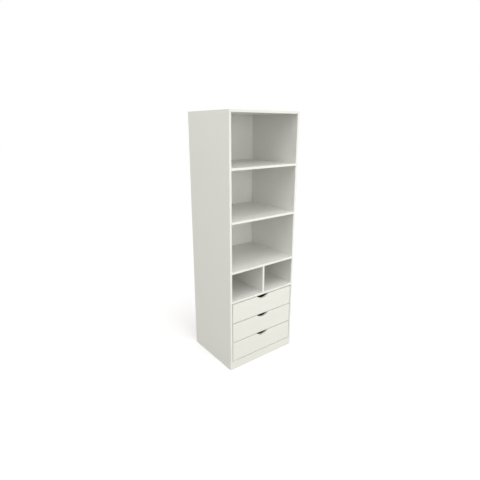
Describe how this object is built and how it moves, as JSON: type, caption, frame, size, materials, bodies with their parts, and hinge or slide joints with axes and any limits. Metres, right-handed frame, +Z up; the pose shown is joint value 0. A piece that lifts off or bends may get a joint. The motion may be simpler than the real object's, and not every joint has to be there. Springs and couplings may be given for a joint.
{
  "type": "bookcase with bottom drawers",
  "caption": "Tall narrow white bookcase: open shelf bays over a divided cubby row and flush drawers with half-moon finger pulls, on a flush plinth.",
  "frame": {"origin": "on the floor, at the middle of the footprint", "axes": "+Z up; -Y is the front, the way the drawers open; +X is to the right, seen from the front"},
  "size_m": [0.6, 0.496, 1.852],
  "materials": {
    "white_board": "warm white melamine on 16 mm board, satin, with matching edge bands",
    "white_hardboard": "thin hardboard, warm white lacquer on the face, bare brown behind",
    "bare_hardboard": "thin hardboard, bare brown fibre on both faces",
    "beech": "bare beech dowel",
    "cast_zinc": "dull cast zinc",
    "zinc_steel": "bright zinc plate on steel",
    "white_enamel": "white epoxy coat on rolled steel",
    "nylon": "natural white nylon"
  },
  "bodies": {
    "case": {"left_side_panel": "white_board", "right_side_panel": "white_board", "top_panel": "white_board", "upper_shelf": "white_board", "middle_shelf": "white_board", "lower_shelf": "white_board", "cubby_divider": "white_board", "cubby_floor": "white_board", "bottom_panel": "white_board", "plinth_front": "white_board", "plinth_rear": "white_board", "back_panel": "white_hardboard", "wall_bracket": "zinc_steel", "cam_locks": "cast_zinc", "cam_bolts": "zinc_steel", "dowels": "beech", "back_nails": "zinc_steel", "short_screws": "zinc_steel", "lower_left_cabinet_rail": "white_enamel", "lower_right_cabinet_rail": "white_enamel", "middle_left_cabinet_rail": "white_enamel", "middle_right_cabinet_rail": "white_enamel", "upper_left_cabinet_rail": "white_enamel", "upper_right_cabinet_rail": "white_enamel"},
    "lower_drawer": {"lower_drawer_front": "white_board", "lower_drawer_left_side": "white_board", "lower_drawer_right_side": "white_board", "lower_drawer_back": "white_board", "lower_drawer_bottom": "bare_hardboard", "lower_drawer_left_rail": "white_enamel", "lower_drawer_right_rail": "white_enamel", "lower_drawer_front_fittings": "cast_zinc", "lower_drawer_screws": "zinc_steel"},
    "lower_cabinet_rollers": {"lower_cabinet_rollers": "nylon"},
    "lower_drawer_rollers": {"lower_drawer_rollers": "nylon"},
    "middle_drawer": {"middle_drawer_front": "white_board", "middle_drawer_left_side": "white_board", "middle_drawer_right_side": "white_board", "middle_drawer_back": "white_board", "middle_drawer_bottom": "bare_hardboard", "middle_drawer_left_rail": "white_enamel", "middle_drawer_right_rail": "white_enamel", "middle_drawer_front_fittings": "cast_zinc", "middle_drawer_screws": "zinc_steel"},
    "middle_cabinet_rollers": {"middle_cabinet_rollers": "nylon"},
    "middle_drawer_rollers": {"middle_drawer_rollers": "nylon"},
    "upper_drawer": {"upper_drawer_front": "white_board", "upper_drawer_left_side": "white_board", "upper_drawer_right_side": "white_board", "upper_drawer_back": "white_board", "upper_drawer_bottom": "bare_hardboard", "upper_drawer_left_rail": "white_enamel", "upper_drawer_right_rail": "white_enamel", "upper_drawer_front_fittings": "cast_zinc", "upper_drawer_screws": "zinc_steel"},
    "upper_cabinet_rollers": {"upper_cabinet_rollers": "nylon"},
    "upper_drawer_rollers": {"upper_drawer_rollers": "nylon"}
  },
  "joints": [
    {"name": "lower_drawer_slide", "type": "slide", "parent": "case", "child": "lower_drawer", "axis": [0, -1, 0], "range_m": [0, 0.34]},
    {"name": "lower_cabinet_roller_spin", "type": "hinge", "parent": "case", "child": "lower_cabinet_rollers", "pos_m": [0, -0.211, 0.0995], "axis": [1, 0, 0], "continuous": true},
    {"name": "lower_drawer_roller_spin", "type": "hinge", "parent": "lower_drawer", "child": "lower_drawer_rollers", "pos_m": [0, 0.2, 0.0978], "axis": [1, 0, 0], "continuous": true},
    {"name": "middle_drawer_slide", "type": "slide", "parent": "case", "child": "middle_drawer", "axis": [0, -1, 0], "range_m": [0, 0.34]},
    {"name": "middle_cabinet_roller_spin", "type": "hinge", "parent": "case", "child": "middle_cabinet_rollers", "pos_m": [0, -0.211, 0.2535], "axis": [1, 0, 0], "continuous": true},
    {"name": "middle_drawer_roller_spin", "type": "hinge", "parent": "middle_drawer", "child": "middle_drawer_rollers", "pos_m": [0, 0.2, 0.2518], "axis": [1, 0, 0], "continuous": true},
    {"name": "upper_drawer_slide", "type": "slide", "parent": "case", "child": "upper_drawer", "axis": [0, -1, 0], "range_m": [0, 0.34]},
    {"name": "upper_cabinet_roller_spin", "type": "hinge", "parent": "case", "child": "upper_cabinet_rollers", "pos_m": [0, -0.211, 0.4075], "axis": [1, 0, 0], "continuous": true},
    {"name": "upper_drawer_roller_spin", "type": "hinge", "parent": "upper_drawer", "child": "upper_drawer_rollers", "pos_m": [0, 0.2, 0.4058], "axis": [1, 0, 0], "continuous": true}
  ],
  "couplings": [
    {"joint": "lower_cabinet_roller_spin", "follows": "lower_drawer_slide", "rad_per_m": 133.33},
    {"joint": "lower_drawer_roller_spin", "follows": "lower_drawer_slide", "rad_per_m": 133.33},
    {"joint": "middle_cabinet_roller_spin", "follows": "middle_drawer_slide", "rad_per_m": 133.33},
    {"joint": "middle_drawer_roller_spin", "follows": "middle_drawer_slide", "rad_per_m": 133.33},
    {"joint": "upper_cabinet_roller_spin", "follows": "upper_drawer_slide", "rad_per_m": 133.33},
    {"joint": "upper_drawer_roller_spin", "follows": "upper_drawer_slide", "rad_per_m": 133.33}
  ]
}
